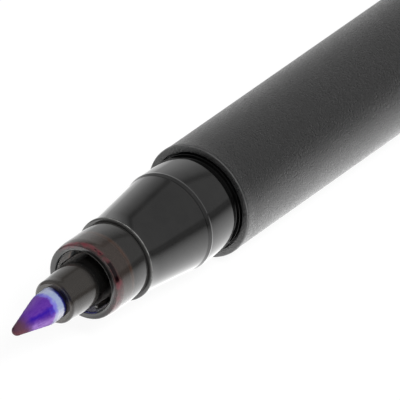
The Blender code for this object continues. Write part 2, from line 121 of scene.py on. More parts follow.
class MarkerSizes(bpy.types.PropertyGroup):
    """Sizes of the pen's pieces that their boxes don't give."""

    point_radius: length("Point radius", "Radius of the nib's round point", 0.00048)
    cone_angle: angle("Cone angle", "Half angle of the nib's cone", 13.4)
    point_lean: length("Point lean", "How far the nib leans to one side, at its point", 0.00017)
    fibre_depth: length("Fibre depth", "Depth of the lines between the nib's fibres", 0.000022)
    nib_chamfer: length("Nib chamfer", "Chamfer of the nib's hidden end", 0.0006)

    tube_front: length("Tube front", "Radius of the holder's tube at its front", 0.0021)
    tube_straight: length("Tube straight", "From the tube's front to the start of its taper", 0.0008)
    tube_taper: angle("Tube taper", "Taper of the holder's tube", 4.0)
    tube_gap: length("Tube gap", "Gap between the nib and the tube", 0.00025)
    tube_mouth_gap: length("Tube mouth gap", "Gap round the nib where the tube closes on it", 0.00001)
    tube_reach: length("Tube reach", "From the cup's mouth to the tube's front", 0.00446)
    tube_mouth_depth: length("Tube mouth depth", "How far the tube's mouth closes on the nib", 0.0004)
    tube_round: length("Tube rounding", "Rounding of the tube's front edge", 0.00028)
    cup_radius: length("Cup radius", "Radius of the holder's cup", 0.00374)
    cup_wall: length("Cup wall", "Wall of the holder's cup", 0.00077)
    cup_length: length("Cup length", "Length of the holder's cup", 0.00475)
    cup_depth: length("Cup depth", "Depth of the holder's cup", 0.0027)
    lip_width: length("Lip width", "From the cup's mouth to its lip's thickest place", 0.0008)
    lip_taper: length("Lip taper", "How far the lip draws in towards the mouth", 0.00013)
    lip_run: length("Lip run", "From the cup's lip down to its wall", 0.0009)
    lip_trim: length("Lip trim", "How much slimmer the lip is than its node", 0.00005)
    lip_round: length("Lip rounding", "Rounding of the lip's outer edge", 0.00014)
    lip_edge: length("Lip edge", "Rounding of the lip's inner edge", 0.0002)
    plug_radius: length("Plug radius", "Radius of the plug behind the cup", 0.0029)
    plug_wall: length("Plug wall", "Wall of the plug behind the cup", 0.0008)
    plug_front: length("Plug front", "Solid length in front of the plug's hollow", 0.0015)
    fin_count: number("Fins", "Fins on the cup's wall", 3)
    fin_thickness: length("Fin thickness", "Thickness of the fins in the cup", 0.0003)
    fin_height: length("Fin height", "From the cup's wall towards the tube", 0.0004)
    fin_setback: length("Fin setback", "From the cup's mouth to the fins", 0.0006)
    fin_turn: angle("Fin turn", "Where the first fin stands, from straight up", 38.0)
    grip_count: number("Grips", "Ribs that grip the nib", 4)
    grip_width: length("Grip width", "Width of the ribs that grip the nib", 0.0005)
    grip_gap: length("Grip gap", "Gap between the nib and its grip ribs", 0.0001)
    grip_setback: length("Grip setback", "From the tube's front to the grip ribs", 0.0012)
    rib_root: length("Rib root", "How deep a rib is rooted in its wall", 0.0002)

    rim_radius: length("Rim radius", "Radius of the section's nose rim", 0.00404)
    rim_width: length("Rim width", "Width of the section's nose rim", 0.00025)
    rim_round: length("Rim rounding", "Rounding of the nose rim's front edge", 0.00015)
    collar_radius: length("Collar radius", "Radius of the cone's collar, behind the nose rim", 0.00392)
    collar_length: length("Collar length", "From the nose to the end of the cone's collar", 0.0015)
    cone_front: length("Cone front", "Radius of the section's cone at its front", 0.003945)
    cone_length: length("Cone length", "From the nose to the foot of the bead", 0.00774)
    cone_step: length("Cone step", "How far the cone ends below the seat", 0.0001)
    bead_height: length("Bead height", "How far the bead stands over the seat", 0.00004)
    bead_rise: length("Bead rise", "Length of the slope up to the bead's ridge", 0.00036)
    bead_fall: length("Bead fall", "Length of the slope down from the bead's ridge", 0.00018)
    bead_round: length("Bead rounding", "Rounding of the bead's ridge", 0.00003)
    seat_length: length("Seat length", "From the nose to the shoulder", 0.01162)
    seat_round: length("Seat rounding", "Rounding of the shoulder", 0.0001)
    neck_depth: length("Neck depth", "Depth of the groove between shoulder and barrel", 0.0005)
    flange_radius: length("Flange radius", "Radius of the section's stop flange", 0.00464)
    flange_thickness: length("Flange thickness", "Thickness of the stop flange", 0.0006)
    flange_proud: length("Flange proud", "How far the flange stands out of the barrel", 0.0001)
    insert_radius: length("Insert radius", "Radius of the inserts in the barrel", 0.00439)
    insert_chamfer: length("Insert chamfer", "Chamfer of the inserts", 0.0003)
    section_bore: length("Section bore", "Bore of the front section", 0.00305)

    barrel_radius: length("Barrel radius", "Radius of the barrel behind its lip", 0.00544)
    barrel_bore: length("Barrel bore", "Radius of the barrel's bore", 0.00454)
    counterbore: length("Counterbore", "Radius of the counterbore in the barrel's front", 0.00482)
    counterbore_depth: length("Counterbore depth", "Depth of the counterbore", 0.0007)
    barrel_lip: length("Barrel lip", "Width of the barrel's front lip", 0.0003)
    barrel_lip_run: length("Barrel lip run", "From the lip down to the barrel's side", 0.0008)
    barrel_lip_slope: length("Barrel lip slope", "Bevel of the barrel's front edge", 0.00011)
    barrel_lip_trim: length("Barrel lip trim", "How much slimmer the lip is than its node", 0.00003)
    barrel_lip_round: length("Barrel lip rounding", "Rounding of the barrel's front edge", 0.00003)
    barrel_edge_wave: length("Edge wave", "Unevenness of the barrel's moulded front edge", 0.000018)
    barrel_round: length("Barrel rounding", "Rounding of the barrel's tail", 0.0003)
    air_rib_count: number("Air ribs", "Ribs in the barrel's bore", 4)
    air_rib_width: length("Air rib width", "Width of the ribs in the bore", 0.0006)
    air_rib_inner: length("Air rib inner", "Radius that the air ribs reach in to", 0.00415)
    air_rib_margin: length("Air rib margin", "From the barrel's ends to its air ribs", 0.012)

    tail_insert: length("Tail insert", "Length of the tail plug in the barrel", 0.0080)
    tail_flange: length("Tail flange", "Thickness of the tail plug's flange", 0.0012)
    tail_round: length("Tail rounding", "Rounding of the tail plug's flange", 0.00025)
    tail_wall: length("Tail wall", "Wall of the tail plug", 0.0011)
    post_radius: length("Post radius", "Radius of the post that the cap goes on", 0.00466)
    post_round: length("Post rounding", "Rounding of the post's end", 0.0007)
    post_end: length("Post end", "Thickness of the post's end", 0.0012)

    cap_bore: length("Cap bore", "Radius of the cap's bore", 0.00496)
    cap_mouth_round: length("Cap mouth rounding", "Rounding of the cap's mouth", 0.0002)
    snap_place: length("Snap place", "From the cap's mouth to its snap ridge", 0.00466)
    snap_height: length("Snap height", "Height of the snap ridge", 0.0001)
    snap_width: length("Snap width", "Width of the snap ridge", 0.0006)
    liner_wall: length("Liner wall", "Wall of the cap's liner", 0.0008)
    liner_floor: length("Liner floor", "Floor of the cap's liner", 0.0010)
    liner_round: length("Liner rounding", "Rounding of the liner's mouth", 0.0002)
    crown_stem: length("Crown stem", "Length of the crown inside the cap", 0.0080)
    crown_wall: length("Crown wall", "Wall of the crown", 0.0009)
    crown_floor: length("Crown floor", "Solid end of the crown", 0.0025)
    crown_round: length("Crown rounding", "Rounding of the cap's end", 0.0008)
    clip_length: length("Clip length", "Length of the cap's clip", 0.0290)
    clip_width: length("Clip width", "Width of the clip", 0.0040)
    clip_thickness: length("Clip thickness", "Thickness of the clip's arm", 0.0012)
    clip_gap: length("Clip gap", "Gap under the clip's arm", 0.0014)
    clip_root: length("Clip root", "Length of the clip's root", 0.0032)
    clip_setback: length("Clip setback", "From the cap's end to the clip's root", 0.0008)
    clip_pad: length("Clip pad", "Length of the pad under the clip's tip", 0.0024)
    clip_pad_gap: length("Clip pad gap", "Gap under the clip's pad", 0.0004)
    clip_tip: length("Clip tip", "Thickness of the clip's tip", 0.0009)
    clip_corner: length("Clip corner", "Rounding of the clip's edges", 0.00025)
    clip_bend: length("Clip bend", "Rounding of the clip's side outline", 0.0010)


class MarkerColours(bpy.types.PropertyGroup):
    """Colours of the pen's finishes."""

    fibre_pale: colour("Pale fibre", "Nib fibre that the ink has hardly reached", (0.34, 0.42, 0.56))
    # Painted light from the floor on the low side of the pale foot.
    fibre_lit_white: colour("Bare fibre", "Nib fibre on the low side of the foot", (0.94, 0.95, 0.98))
    fibre_violet: colour("Violet fibre", "Inked fibre of the cone", (0.098, 0.021, 0.310))
    fibre_indigo: colour("Indigo fibre", "Fibre where the ink is deepest", (0.028, 0.002, 0.31))
    # Also painted light on the nib's upper side near the point.
    fibre_lilac: colour("Lilac fibre", "Fibre where the ink has faded", (0.30, 0.14, 0.55))
    # Painted light from the floor on the low side of the cone.
    fibre_lit_pink: colour("Pink fibre", "Fibre low on the cone, where the ink is thin", (0.42, 0.23, 0.68))
    fibre_lavender: colour("Lavender fibre", "Thin ink at the stain's edge", (0.19, 0.17, 0.62))
    fibre_blue: colour("Blue fibre", "Ink that has run at the cone's foot", (0.055, 0.045, 0.54))
    fibre_point: colour("Point fibre", "Dried ink on the point", (0.10, 0.040, 0.068))
    fibre_rust: colour("Reddish fibre", "Reddish ink low on the point", (0.17, 0.050, 0.062))
    # Partly wet ink, partly painted shade where the nib enters the tube.
    fibre_root_wet_shaded: colour("Root fibre", "Wet ink where the nib enters the tube", (0.012, 0.012, 0.15))
    smoke: colour("Smoked plastic", "Body of the nib holder", (0.050, 0.045, 0.041))
    # Painted shade on the tube in the cup and on the lip's inner edge.
    smoke_shade: colour("Deep smoked plastic", "Tube where the cup shades it", (0.005, 0.005, 0.005))
    smoke_floor: colour("Smoke floor", "Floor of the cup, with light coming through", (0.24, 0.23, 0.22))
    smoke_edge: colour("Smoked edge", "Inner edge of the lip, lit through", (0.150, 0.145, 0.140))
    # Painted light on the front face of the holder's tube.
    smoke_face_lit: colour("Smoked face", "Front of the holder's tube", (0.085, 0.070, 0.058))
    # Painted reflection from inside the thin wall: the cup's wall over its hollow, lighter than over its
    # solid part.
    smoke_wall_lit: colour("Smoked wall", "Wall of the cup, from outside", (0.113, 0.090, 0.080))
    smoke_ring: colour("Smoked ring", "Warm ring where the cup's wall meets its floor", (0.180, 0.098, 0.068))
    smoke_base: colour("Smoked base", "Solid part of the cup, behind its floor", (0.034, 0.033, 0.032))
    # Painted shade on the lip of the cup.
    smoke_lip_shaded: colour("Smoked lip", "Lip of the cup", (0.014, 0.0135, 0.013))
    smoke_inside: colour("Smoked inside", "Inner wall of the cup, lit through", (0.80, 0.92, 0.98))
    ink_red: colour("Dried red ink", "Ink that has dried on the cup's lip", (0.165, 0.022, 0.036))
    ink_black: colour("Thick wet ink", "Ink that stands where the nib enters the tube", (0.006, 0.006, 0.020))
    ink_maroon: colour("Thick dried ink", "Ink that has dried thickly", (0.006, 0.001, 0.002))
    ink_blue: colour("Blue ink", "Traces of ink on the cup's lip", (0.07, 0.07, 0.29))
    # Painted shade in the grooves, and the colour of a dark speck on the nib.
    shade_and_speck: colour("Grime", "Shade in the grooves, and a speck on the nib", (0.004, 0.004, 0.004))
    # Front face of the nose rim, painted a lighter grey.
    rim_face_grey: colour("Dusty face", "Front of the nose rim", (0.055, 0.054, 0.052))
    # Painted highlight along the rubbed edge of the nose rim.
    rubbed_highlight: colour("Worn edge", "Rubbed edge of the gloss plastic", (0.34, 0.34, 0.33))
    gloss_black: colour("Gloss black", "Moulded gloss plastic", (0.020, 0.020, 0.020))
    gloss_haze: colour("Gloss haze", "Cloudy patches in the gloss plastic", (0.06, 0.058, 0.055))
    matt_black: colour("Matt black", "Grained matt plastic", (0.0108, 0.0108, 0.0108))
    cap_black: colour("Cap black", "Satin plastic of the cap", (0.026, 0.026, 0.026))
    natural: colour("Natural plastic", "Unpigmented plastic of the liner", (0.72, 0.71, 0.68))
    core: colour("Inked core", "Ink-soaked fibre in the barrel", (0.10, 0.02, 0.30))
    film: colour("Clear film", "Film round the ink core", (0.75, 0.75, 0.78))


class MarkerStage(bpy.types.PropertyGroup):
    """The stage, the light and the camera."""

    azimuth: angle("Azimuth", "Camera's direction round the pen", -54.5)
    elevation: angle("Elevation", "Camera's height over the floor", 30.0)
    distance: length("Distance", "From the camera to what it aims at", 1.632)
    picture: length("Picture", "Width of the picture at the pen", 0.035609)
    aim_right: length("Aim right", "Picture's middle, right of the barrel's front", 0.000192)
    aim_up: length("Aim up", "Picture's middle, above the barrel's front", 0.000136)
    floor_size: length("Floor size", "Side of the floor", 8.0)
    floor_glow: level("Floor glow", "White that the floor shows by itself", 0.92)
    floor_white: level("Floor white", "White that the floor shows in the light", 0.13)
    floor_bounce: level("Floor bounce", "White of the floor as it lights the pen", 0.80)
    floor_near: level("Floor near", "White of the mirrored floor in front of the pen", 2.45)
    floor_back: level("Floor back", "White of the mirrored floor behind the pen", 1.05)
    floor_ahead: level("Floor ahead", "How much brighter the floor beyond the nib is in reflections", 2.3)
    floor_fade: length("Floor fade", "Distance over which the mirrored floor dims, in front", 0.024)
    tent_radius: length("Tent radius", "Radius of the reflected tent round the pen", 0.6)
    tent_length: length("Tent length", "Length of the reflected tent", 4.0)
    sky: level("Sky", "Strength of the light from all round", 0.35)
    key_power: level("Key power", "Power of the soft key lamp", 6.5)
    key_size: length("Key size", "Width of the soft key lamp", 0.5)
    key_place: bpy.props.FloatVectorProperty(
        name="Key place", description="Place of the key lamp, from the barrel's front",
        default=(-0.08, -0.6, 0.72), size=3, subtype='TRANSLATION', unit='LENGTH')


# Making meshes

Span = namedtuple("Span", "start end radius")


def span(node):
    """Start, end and outer radius of a node that is turned about X."""
    low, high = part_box(node)
    return Span(low.x, high.x, high.z)


def barrel_front():
    """Middle of the barrel's front, from which the lamp and the camera are placed."""
    return Vector((span("barrel").start, 0.0, 0.0))


def draw_outline(bm, corners):
    """Closed outline of (along, radius, rounding) corners, as edges in the XZ plane."""
    roundings = {bm.verts.new((along, 0.0, radius)): rounding for along, radius, rounding in corners}
    points = list(roundings)
    for here, following in zip(points, points[1:] + points[:1]):
        bm.edges.new((here, following))
    for point, rounding in roundings.items():
        if rounding:
            bmesh.ops.bevel(
                bm, geom=[point], offset=rounding, offset_type='OFFSET', segments=CORNER_STEPS,
                profile=0.5, affect='VERTICES', material=-1)


def spin_outline(bm):
    """Turn the outline a quarter about the pen's axis, and copy that round into a closed skin."""
    on_axis = [edge for edge in bm.edges if all(abs(vert.co.z) < MERGE for vert in edge.verts)]
    bmesh.ops.delete(bm, geom=on_axis, context='EDGES_FACES')
    bmesh.ops.spin(
        bm, geom=bm.verts[:] + bm.edges[:], cent=(0, 0, 0), axis=(1, 0, 0), angle=math.pi / 2,
        steps=ROUND_STEPS // 4)
    for copy_turn in (math.pi / 2, math.pi):
        copied = bmesh.ops.duplicate(bm, geom=bm.verts[:] + bm.edges[:] + bm.faces[:])["geom"]
        bmesh.ops.rotate(
            bm, verts=[part for part in copied if isinstance(part, bmesh.types.BMVert)],
            cent=(0, 0, 0), matrix=Matrix.Rotation(copy_turn, 3, 'X'))
    bmesh.ops.remove_doubles(bm, verts=bm.verts, dist=MERGE)
    bmesh.ops.recalc_face_normals(bm, faces=bm.faces)


def add_piece(name, bm):
    """Make an object of a mesh that is in its place."""
    mesh = bpy.data.meshes.new(name)
    bm.to_mesh(mesh)
    bm.free()
    piece = bpy.data.objects.new(name, mesh)
    bpy.context.scene.collection.objects.link(piece)
    return piece


def turn(name, corners):
    """A piece turned about the pen's axis."""
    bm = bmesh.new()
    draw_outline(bm, corners)
    spin_outline(bm)
    return add_piece(name, bm)


def radial_ribs(count, width, inner, outer, start, end, first_turn=0.0):
    """Flat ribs round the axis, as a mesh to fuse to a piece."""
    bm = bmesh.new()
    size = Matrix.Diagonal((end - start, width, outer - inner, 1.0))
    place = Matrix.Translation(((start + end) / 2, 0.0, (inner + outer) / 2))
    for step in range(count):
        round_axis = Matrix.Rotation(first_turn + 2 * math.pi * step / count, 4, 'X')
        bmesh.ops.create_cube(bm, size=1.0, matrix=round_axis @ place @ size)
    return add_piece("ribs", bm)


def combine(piece, tool, operation):
    """Fuse a tool's shape to a piece, or cut it out, and remove the tool."""
    boolean = piece.modifiers.new(operation, 'BOOLEAN')
    boolean.operation = operation
    boolean.object = tool
    graph = bpy.context.evaluated_depsgraph_get()
    mesh = bpy.data.meshes.new_from_object(piece.evaluated_get(graph))
    mesh.name = piece.name
    piece.modifiers.clear()
    piece.data = mesh
    bpy.data.objects.remove(tool, do_unlink=True)


def dress(piece, body, node, finish):
    """Shade a piece, give it its finish and set it in the frame in a node's place."""
    piece.data.shade_smooth()
    piece.data.set_sharp_from_angle(angle=SHARP)
    piece.data.materials.clear()
    piece.data.materials.append(finish)
    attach(piece, body)
    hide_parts(node)


# Making finishes

class Finish:
    """A material's node tree, with short calls for the nodes that the finishes share."""

    def __init__(self, name):
        self.material = bpy.data.materials.new(name)
        self.material.use_nodes = True
        self.tree = self.material.node_tree
        self.shader = self.tree.nodes["Principled BSDF"]
        self.place = self.add("ShaderNodeTexCoord").outputs["Object"]

    def put(self, socket, value):
        """Link a socket to another, or set its value."""
        if isinstance(value, bpy.types.NodeSocket):
            self.tree.links.new(value, socket)
        else:
            socket.default_value = value

    def add(self, kind, inputs=None, **settings):
        """Add a node with its settings and inputs."""
        node = self.tree.nodes.new(kind)
        for name, value in settings.items():
            setattr(node, name, value)
        for key, value in (inputs or {}).items():
            self.put(node.inputs[key], value)
        return node

    def math(self, operation, *values):
        """Work out a number."""
        return self.add("ShaderNodeMath", dict(enumerate(values)), operation=operation).outputs[0]

    def vector(self, operation, *values):
        """Work with vectors: the outputs hold a vector or a number."""
        return self.add("ShaderNodeVectorMath", dict(enumerate(values)), operation=operation).outputs

    def towards(self, direction):
        """How far a place lies in a direction from the axis."""
        return self.vector('DOT_PRODUCT', self.place, direction)["Value"]

    @cached_property
    def axes(self):
        """A place's X, Y and Z."""
        return self.add("ShaderNodeSeparateXYZ", {0: self.place}).outputs

    @cached_property
    def along(self):
        """Place along the pen."""
        return self.axes["X"]

    @cached_property
    def radius(self):
        """Distance from the pen's axis."""
        across = self.vector('MULTIPLY', self.place, (0.0, 1.0, 1.0))["Vector"]
        return self.vector('LENGTH', across)["Value"]

    @cached_property
    def turned(self):
        """Angle round the pen, from its near side to its low side."""
        return self.math('ARCTAN2', self.towards(LOW_SIDE), self.towards(NEAR_SIDE))

    def noise(self, size, detail=3.0, stretch=1.0, roughness=0.5):
        """Noise whose spots have a size, drawn out along the pen by a factor."""
        scale = (1.0 / (size * stretch), 1.0 / size, 1.0 / size)
        spread = self.add("ShaderNodeMapping", {"Vector": self.place, "Scale": scale}).outputs[0]
        inputs = {"Vector": spread, "Scale": 1.0, "Detail": detail, "Roughness": roughness}
        return self.add("ShaderNodeTexNoise", inputs).outputs[0]

    def sway(self, value, pattern, reach):
        """Move a value to and fro with a pattern."""
        return self.math('ADD', value, self.math('MULTIPLY', self.math('SUBTRACT', pattern, 0.5), reach))

    def rise(self, value, low, high, start=0.0, end=1.0):
        """A smooth step from start to end as a value goes from low to high."""
        inputs = {"Value": value, "From Min": low, "From Max": high, "To Min": start, "To Max": end}
        return self.add("ShaderNodeMapRange", inputs, interpolation_type='SMOOTHSTEP').outputs[0]

    def band(self, value, low, high, soft):
        """One between low and high, and zero past a soft edge."""
        return self.where((value, low - soft, low + soft), (value, high + soft, high - soft))

    def mask(self, limit):
        """A rise of (value, low, high), a band of (value, low, high, soft), or a mask or a share as it is."""
        if not isinstance(limit, tuple):
            return limit
        return self.rise(*limit) if len(limit) == 3 else self.band(*limit)

    def where(self, *limits):
        """Where all limits hold, as the product of their masks."""
        product, *others = map(self.mask, limits)
        for other in others:
            product = self.math('MULTIPLY', product, other)
        return product

    def mix(self, factor, under, over):
        """Lay one colour over another."""
        node = self.add("ShaderNodeMix", data_type='RGBA')
        self.put(node.inputs[0], factor)
        for socket, value in ((node.inputs[6], under), (node.inputs[7], over)):
            self.put(socket, value if isinstance(value, bpy.types.NodeSocket) else (*value, 1.0))
        return node.outputs[2]

    def paint(self, under, *coats):
        """Lay coats over a colour, each its own colour and then the limits where it lies."""
        for over, *limits in coats:
            under = self.mix(self.where(*limits), under, over)
        return under

    def ramp(self, value, stops):
        """Grey that goes through (position, level) stops."""
        node = self.add("ShaderNodeValToRGB", {0: value})
        for index, (position, amount) in enumerate(stops):
            stop = node.color_ramp.elements[index] if index < 2 else node.color_ramp.elements.new(position)
            stop.position = position
            stop.color = (*grey(amount), 1.0)
        return node.outputs["Color"]

    def bump(self, height, depth, under=None):
        """Relief of a height pattern, to a depth in metres."""
        inputs = {"Height": height, "Distance": depth, "Strength": 1.0}
        if under:
            inputs["Normal"] = under
        return self.add("ShaderNodeBump", inputs).outputs[0]

    def set(self, **values):
        """Set the standard shader's sockets."""
        for name, value in values.items():
            self.put(self.shader.inputs[name.replace("_", " ")], value)
        return self.material

    def show(self, shader):
        """Show another shader in place of the standard one."""
        self.put(self.tree.nodes["Material Output"].inputs["Surface"], shader.outputs[0])
        return self.material


def grey(amount):
    """A grey colour."""
    return [amount] * 3


def lighter(tint, factor):
    """A colour made lighter by a factor."""
    return [factor * part for part in tint]


def stained_fibre(sizes, colours):
    """Pressed nib fibre: violet cone with run and faded ink, pale foot, wet root, painted light on the low
    and upper sides, and painted shade at the root.
    """
    finish = Finish("stained fibre")
    point = span("nib").start
    foot = point + cone_run(sizes, span("nib").radius)
    root = span("nib_holder").start
    wobble = finish.noise(0.0009)
    along = finish.sway(finish.along, wobble, reach=0.0008)
    turned = finish.sway(finish.turned, wobble, reach=0.72)
    streak = finish.noise(0.00012, detail=4.0, stretch=7.0)
    blotches = finish.rise(finish.noise(0.00025), 0.4, 0.6, start=0.3)
    scallop = finish.noise(0.0004)
    edge = finish.sway(finish.along, scallop, reach=0.0006)
    edge = finish.math('ADD', edge, finish.rise(turned, 0.6, 1.2, end=0.0002))
    soaked = finish.sway(finish.along, scallop, reach=0.00021)
    # Wet ink at the root on the near and low sides, partly painted shade where the nib enters the tube.
    wet_and_shaded_side = finish.rise(turned, -1.2, -0.5)
    wet = finish.where(wet_and_shaded_side, (soaked, root - 0.00052, root - 0.00032))
    # Thin ink at the stain's edge, painted halfway to the floor-lit white on the low side.
    thin_ink_and_floor_light = finish.mix(finish.where((turned, 0.5, 1.1), 0.5), colours.fibre_lavender, colours.fibre_lit_white)
    # Painted light on the pale foot: from the floor on the low side, and a little on the upper side.
    painted_side_light = finish.math('ADD', finish.rise(turned, 0.42, 1.25), finish.rise(turned, -0.45, -1.1, end=0.35))
    pale = finish.paint(
        colours.fibre_pale,
        (colours.fibre_lit_white, painted_side_light),
        (colours.fibre_lavender, (streak, 0.2, 0.8), 0.3))
    stain = finish.paint(
        colours.fibre_violet,
        (colours.fibre_lilac, (streak, 0.3, 0.7), 0.12),
        # Painted light on the upper side of the cone, near the point.
        (colours.fibre_lilac, (turned, -0.5, -1.3), (along, point + 0.0012, point + 0.0030), 0.35),
        (colours.fibre_indigo, (turned, 0.08, 0.44, 0.20),
         (along, point + 0.0014, foot - 0.0003, 0.0006), 0.95),
        (colours.fibre_blue, (turned, 0.15, 0.72, 0.20), (along, foot - 0.0007, foot + 0.0001, 0.0003),
         blotches, 0.85),
        # Painted light from the floor on the low side of the cone.
        (colours.fibre_lit_pink, (turned, 0.50, 1.10), (along, point + 0.0008, point + 0.0022),
         finish.rise(streak, 0.25, 0.6, start=0.55)),
        (colours.fibre_point, (along, point + 0.0023, point + 0.0006)),
        (colours.fibre_rust, (turned, 0.45, 1.3), (along, point + 0.0022, point + 0.0008), 0.6),
        (colours.shade_and_speck, (finish.turned, -1.2, -0.7, 0.1),
         (finish.along, point + 0.0001, point + 0.0003, 0.0001)),
        (thin_ink_and_floor_light, (edge, foot - 0.00034, foot - 0.00004)),
        (pale, (edge, foot - 0.00002, foot + 0.00038)),
        # Dark rings at the root: wet ink, and partly painted shade where the nib enters the tube.
        (colours.fibre_root_wet_shaded, wet),
        (colours.ink_black, wet_and_shaded_side, (soaked, root - 0.00030, root - 0.00016)))
    rough = finish.rise(wet, 0.0, 1.0, start=0.72, end=0.3)
    relief = finish.bump(finish.noise(0.00005, stretch=5.0), depth=0.00002)
    return finish.set(Base_Color=stain, Roughness=rough, IOR=1.32, Normal=relief)


def dried_ink(finish, mouth, rim, blotch, aside):
    """Ink along the cup's lip, which has run down on the low side."""
    uneven = finish.sway(finish.along, blotch, reach=0.0004)
    uneven = finish.math('ADD', uneven, finish.rise(finish.turned, -0.5, -1.3, end=0.00016))
    line = finish.band(uneven, mouth + 0.00008, mouth + 0.00062, soft=0.00022)
    run_down = finish.where((uneven, mouth + 0.0003, mouth + 0.001, 0.0003), (finish.turned, 0.3, 0.6), 0.9)
    spread = finish.math('ADD', finish.radius, finish.rise(aside, 0.4, 1.1, end=0.00022))
    return finish.where(
        finish.math('MAXIMUM', line, run_down), (spread, rim - 0.0002, rim - 0.00004), (aside, 1.75, 1.45),
        finish.rise(blotch, 0.3, 0.6, start=0.6, end=0.95))


def thick_ink(finish, mouth, outside):
    """A thick blob of ink and two specks on the cup's lip."""
    thick = finish.where(
        (finish.along, mouth + 0.00014, mouth + 0.00058, 0.00006), (finish.turned, -0.03, 0.5, 0.05))
    for spot in (-0.48, -0.33):
        speck = finish.where(
            (finish.along, mouth + 0.0003, mouth + 0.00042, 0.00005),
            (finish.turned, spot - 0.03, spot + 0.03, 0.02))
        thick = finish.math('MAXIMUM', thick, speck)
    return finish.where(thick, outside)


def smoked_plastic(sizes, colours):
    """Smoked clear moulding: inner wall, floor and lip edge painted light as lit through, painted light on
    the tube's front and painted reflection on the cup's wall, painted shade on the tube in the cup and on the
    lip, ink dried on the cup's lip and spilt on the tube's front.
    """
    finish = Finish("smoked plastic")
    front = span("nib_holder").start
    mouth = front + sizes.tube_reach
    floor = mouth + sizes.cup_depth
    bore = sizes.cup_radius - sizes.cup_wall
    rim = span("nib_holder").radius - sizes.lip_trim - sizes.lip_taper
    beside_tube = 0.00255           # radius between the tube and the cup's wall
    along, radius, turned = finish.along, finish.radius, finish.turned
    aside = finish.math('ABSOLUTE', turned)
    blotch = finish.noise(0.0007, detail=4.0)
    patches = finish.noise(0.0005, detail=4.0)
    outside = finish.rise(radius, rim - 0.0001, rim)
    wall = finish.where((along, floor + 0.0001, floor - 0.0003), outside)
    inside = finish.where(
        (radius, bore - 0.00006, bore + 0.00003, 0.00003), (along, mouth, floor, 0.00005), (aside, 0.9, 1.4),
        finish.rise(turned, 0.0, 1.0, start=1.0, end=0.45))
    dried = dried_ink(finish, mouth, rim, blotch, aside)
    thick = thick_ink(finish, mouth, outside)
    dusk = finish.math('ADD', finish.rise(patches, 0.4, 0.7, end=0.6), finish.rise(aside, 0.7, 0.2, end=0.45))
    body = finish.paint(
        colours.smoke,
        # Painted shade on the tube inside the cup.
        (colours.smoke_shade, (along, mouth - 0.0016, mouth - 0.0006),
         (radius, beside_tube + 0.00005, beside_tube - 0.00005), 0.97),
        (colours.smoke_floor, (along, floor - 0.0002, floor - 0.0001), (radius, beside_tube, bore, 0.00005)),
        # Painted light on the tube's front face.
        (colours.smoke_face_lit, (along, front + 0.00008, front + 0.00003)),
        (colours.ink_black, (along, front + 0.0002, front + 0.0001), (turned, -0.35, 0.38, 0.14), 0.86),
        # Painted reflection: the cup's wall lighter over its hollow than over its solid part.
        (finish.mix(wall, colours.smoke_base, colours.smoke_wall_lit), outside),
        # Painted shade on the lip's front.
        (colours.smoke_lip_shaded, (radius, bore, bore + 0.00004), (radius, rim, rim - 0.0001)),
        (colours.smoke_inside, inside),
        (colours.smoke_ring, (along, floor - 0.0004, floor - 0.0002, 0.0002), outside,
         finish.rise(blotch, 0.3, 0.6, start=0.4)),
        (finish.mix(dusk, colours.ink_red, colours.ink_maroon), dried),
        (colours.ink_maroon, thick),
        (colours.smoke_edge, (radius, bore + 0.00005, bore + 0.00022, 0.00004),
         (along, mouth + 0.0003, mouth + 0.0002), (aside, 1.7, 1.3)),
        (colours.ink_blue, (radius, bore, bore + 0.0001, 0.00002), (turned, 1.85, 2.35, 0.08)),
        # Painted shade on the lip's inner edge, on the upper far side.
        (colours.smoke_shade, (radius, bore, bore + 0.00006, 0.00002), (turned, -2.45, -1.8, 0.1), 0.8))
    thin = finish.math('ADD', finish.where(wall, 0.4), finish.where(inside, 0.65))
    clear = finish.where(finish.math('ADD', thin, 0.25), (dried, 1.0, 0.0))
    dull = finish.where(finish.math('SUBTRACT', dried, thick), 0.1)
    rough = finish.math('ADD', finish.rise(patches, 0.35, 0.75, start=0.06, end=0.13), dull)
    relief = finish.bump(finish.noise(0.0012, detail=2.0), depth=0.000012)
    relief = finish.bump(finish.noise(0.00006, detail=2.0), depth=0.0000006, under=relief)
    return finish.set(Base_Color=body, Roughness=rough, IOR=1.54, Transmission_Weight=clear, Normal=relief)


def gloss_plastic(name, colours, scuff_stretch, grooves=(), highlit_edge=None):
    """Moulded gloss plastic with faint flow waves, fine rubbing marks, painted shade in grooves, and a rubbed
    edge with a painted highlight and a face painted lighter grey before it.
    """
    finish = Finish(name)
    rubbed = finish.noise(0.00012, detail=4.0, stretch=scuff_stretch)
    haze = finish.noise(0.002)
    coats = [(colours.gloss_haze, (haze, 0.3, 0.7), 0.10)]
    # Painted shade in the grooves.
    for start, end, share in grooves:
        coats.append((colours.shade_and_speck, (finish.along, start, end, 0.00004), share))
    if highlit_edge:
        place, edge = highlit_edge
        chipped = finish.rise(finish.noise(0.0005, detail=4.0), 0.3, 0.6, start=0.3)
        # The rim's front face painted a lighter grey, and a painted highlight along its rubbed outer edge.
        coats += [
            (colours.rim_face_grey, (finish.along, place - 0.00002, place - 0.00005),
             (finish.radius, edge - 0.0004, edge - 0.0003)),
            (colours.rubbed_highlight, (finish.along, place - 0.00002, place + 0.00003, 0.00003),
             (finish.radius, edge - 0.00008, edge - 0.00003), chipped),
        ]
    tint = finish.paint(colours.gloss_black, *coats)
    rough = finish.math(
        'ADD', finish.rise(rubbed, 0.45, 0.8, start=0.05, end=0.12), finish.rise(haze, 0.4, 0.8, end=0.03))
    relief = finish.bump(finish.noise(0.0025, detail=2.0), depth=0.000008)
    relief = finish.bump(rubbed, depth=0.0000008, under=relief)
    return finish.set(Base_Color=tint, Roughness=rough, IOR=1.55, Normal=relief)


